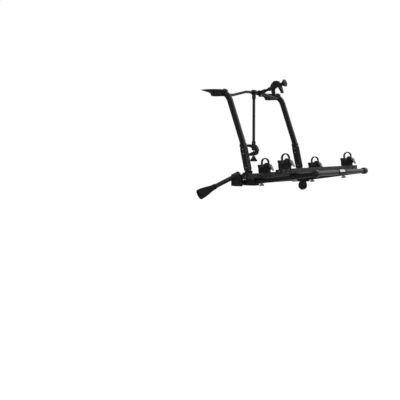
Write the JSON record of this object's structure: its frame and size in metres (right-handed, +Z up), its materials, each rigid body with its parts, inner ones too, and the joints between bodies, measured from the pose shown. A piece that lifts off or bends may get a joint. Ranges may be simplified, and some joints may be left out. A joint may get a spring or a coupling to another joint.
{
  "type": "bike rack",
  "caption": "Fold-up bike rack that hooks over a van's tailgate, with two wheel rails, wheel straps and clamping bike arms.",
  "frame": {"origin": "midway between the two hooks, on the faces of the hook pads that rest on the door's top edge", "axes": "+X to the right as seen from behind the vehicle, +Y towards the vehicle, +Z up"},
  "size_m": [1.9042, 1.2059, 1.0806],
  "materials": {
    "black_tube": "satin black powder coat on aluminium tube",
    "black_casting": "matte black powder coat on cast aluminium",
    "black_rail": "black anodised extrusion",
    "black_moulding": "fine grained black moulding",
    "black_rubber": "matte black rubber",
    "black_strap": "ribbed black strap",
    "grey_lever": "dark grey moulding",
    "wing_grey": "cast grey zinc",
    "bright_steel": "zinc plated steel"
  },
  "bodies": {
    "frame": {"hook_left": "black_casting", "hook_right": "black_casting", "hook_pads": "black_rubber", "upright_left": "black_tube", "upright_right": "black_tube", "lower_sleeve_left": "black_tube", "lower_sleeve_right": "black_tube", "top_crossbar": "black_tube", "lower_crossbar": "black_tube", "end_clamp_left": "black_casting", "end_clamp_right": "black_casting", "clamp_bolts": "bright_steel", "hinge_housing_left": "black_casting", "hinge_housing_right": "black_casting", "hinge_pins": "bright_steel", "latch_housing": "black_moulding"},
    "foot_arm_left": {"foot_arm_left": "black_tube", "foot_left": "black_rubber"},
    "foot_arm_right": {"foot_arm_right": "black_tube", "foot_right": "black_rubber"},
    "latch": {"latch_lever": "grey_lever"},
    "platform": {"side_arm_left": "black_tube", "side_arm_right": "black_tube", "outer_bar": "black_tube", "centre_sleeve": "black_moulding", "inner_rail": "black_rail", "outer_rail": "black_rail", "end_caps": "black_moulding", "rail_saddles": "black_moulding"},
    "wing_bolt_inner_left": {"wing_bolt_inner_left": "wing_grey"},
    "wing_bolt_inner_right": {"wing_bolt_inner_right": "wing_grey"},
    "wing_bolt_outer_left": {"wing_bolt_outer_left": "wing_grey"},
    "wing_bolt_outer_right": {"wing_bolt_outer_right": "wing_grey"},
    "holder_a": {"cradle_a": "black_moulding", "buckle_a": "black_moulding", "strap_a": "black_strap"},
    "lever_a": {"lever_a": "grey_lever"},
    "holder_b": {"cradle_b": "black_moulding", "buckle_b": "black_moulding", "strap_b": "black_strap"},
    "lever_b": {"lever_b": "grey_lever"},
    "holder_c": {"cradle_c": "black_moulding", "buckle_c": "black_moulding", "strap_c": "black_strap"},
    "lever_c": {"lever_c": "grey_lever"},
    "holder_d": {"cradle_d": "black_moulding", "buckle_d": "black_moulding", "strap_d": "black_strap"},
    "lever_d": {"lever_d": "grey_lever"},
    "long_arm": {"long_arm_clamp": "black_moulding", "long_arm_tube": "black_tube", "long_arm_jaw": "black_moulding"},
    "long_moving_jaw": {"long_arm_moving_jaw": "black_moulding"},
    "long_knob": {"long_arm_knob": "black_moulding"},
    "short_arm": {"short_arm_clamp": "black_moulding", "short_arm_tube": "black_tube", "short_arm_jaw": "black_moulding"},
    "short_moving_jaw": {"short_arm_moving_jaw": "black_moulding"},
    "short_knob": {"short_arm_knob": "black_moulding"}
  },
  "joints": [
    {"name": "platform_fold", "type": "hinge", "parent": "frame", "child": "platform", "pos_m": [0, -0.40142, -0.73772], "axis": [-1, 0, 0], "range_deg": [0, 78]},
    {"name": "foot_arm_left_slide", "type": "slide", "parent": "frame", "child": "foot_arm_left", "axis": [-0.7912, 0.4568, -0.4067], "range_m": [-0.03, 0.03]},
    {"name": "foot_arm_right_slide", "type": "slide", "parent": "frame", "child": "foot_arm_right", "axis": [0.7912, 0.4568, -0.4067], "range_m": [-0.03, 0.03]},
    {"name": "latch_pull", "type": "hinge", "parent": "frame", "child": "latch", "pos_m": [0, -0.33612, -0.71373], "axis": [-1, 0, 0], "range_deg": [0, 20], "stiffness_Nm_per_rad": 0.4},
    {"name": "wing_bolt_inner_left_turn", "type": "hinge", "parent": "platform", "child": "wing_bolt_inner_left", "pos_m": [-0.47, -0.47521, -0.78138], "axis": [0, 0.1392, 0.9903], "continuous": true},
    {"name": "wing_bolt_inner_right_turn", "type": "hinge", "parent": "platform", "child": "wing_bolt_inner_right", "pos_m": [0.47, -0.47521, -0.78138], "axis": [0, 0.1392, 0.9903], "continuous": true},
    {"name": "wing_bolt_outer_left_turn", "type": "hinge", "parent": "platform", "child": "wing_bolt_outer_left", "pos_m": [-0.47, -0.80893, -0.73448], "axis": [0, 0.1392, 0.9903], "continuous": true},
    {"name": "wing_bolt_outer_right_turn", "type": "hinge", "parent": "platform", "child": "wing_bolt_outer_right", "pos_m": [0.47, -0.80893, -0.73448], "axis": [0, 0.1392, 0.9903], "continuous": true},
    {"name": "holder_a_slide", "type": "slide", "parent": "platform", "child": "holder_a", "axis": [1, 0, 0], "range_m": [0, 0.15]},
    {"name": "lever_a_lift", "type": "hinge", "parent": "holder_a", "child": "lever_a", "pos_m": [-0.39499, -0.51712, -0.62547], "axis": [-1, 0, 0], "range_deg": [0, 60], "stiffness_Nm_per_rad": 0.2},
    {"name": "holder_b_slide", "type": "slide", "parent": "platform", "child": "holder_b", "axis": [1, 0, 0], "range_m": [-0.03, 0]},
    {"name": "lever_b_lift", "type": "hinge", "parent": "holder_b", "child": "lever_b", "pos_m": [0.54003, -0.51712, -0.62547], "axis": [-1, 0, 0], "range_deg": [0, 60], "stiffness_Nm_per_rad": 0.2},
    {"name": "holder_c_slide", "type": "slide", "parent": "platform", "child": "holder_c", "axis": [1, 0, 0], "range_m": [-0.05, 0.06]},
    {"name": "lever_c_lift", "type": "hinge", "parent": "holder_c", "child": "lever_c", "pos_m": [-0.61504, -0.85084, -0.57857], "axis": [-1, 0, 0], "range_deg": [0, 60], "stiffness_Nm_per_rad": 0.2},
    {"name": "holder_d_slide", "type": "slide", "parent": "platform", "child": "holder_d", "axis": [1, 0, 0], "range_m": [-0.05, 0.08]},
    {"name": "lever_d_lift", "type": "hinge", "parent": "holder_d", "child": "lever_d", "pos_m": [0.57002, -0.85084, -0.57857], "axis": [-1, 0, 0], "range_deg": [0, 60], "stiffness_Nm_per_rad": 0.2},
    {"name": "long_arm_swing", "type": "hinge", "parent": "frame", "child": "long_arm", "pos_m": [-0.006, -0.1017, 0.05223], "axis": [-1, 0, 0], "range_deg": [0, 100]},
    {"name": "long_jaw_close", "type": "hinge", "parent": "long_arm", "child": "long_moving_jaw", "pos_m": [-0.006, -0.1437, -0.49477], "axis": [1, 0, 0], "range_deg": [0, 15]},
    {"name": "long_knob_turn", "type": "hinge", "parent": "long_arm", "child": "long_knob", "pos_m": [-0.006, -0.1017, -0.49477], "axis": [0, 0, -1], "continuous": true},
    {"name": "short_arm_swing", "type": "hinge", "parent": "frame", "child": "short_arm", "pos_m": [0.1, -0.1017, 0.05223], "axis": [-1, 0, 0], "range_deg": [-75, 55]},
    {"name": "short_jaw_close", "type": "hinge", "parent": "short_arm", "child": "short_moving_jaw", "pos_m": [0.1, -0.27112, 0.14795], "axis": [1, 0, 0], "range_deg": [0, 15]},
    {"name": "short_knob_turn", "type": "hinge", "parent": "short_arm", "child": "short_knob", "pos_m": [0.1, -0.2834, 0.10778], "axis": [0, -0.9563, 0.2924], "continuous": true}
  ]
}
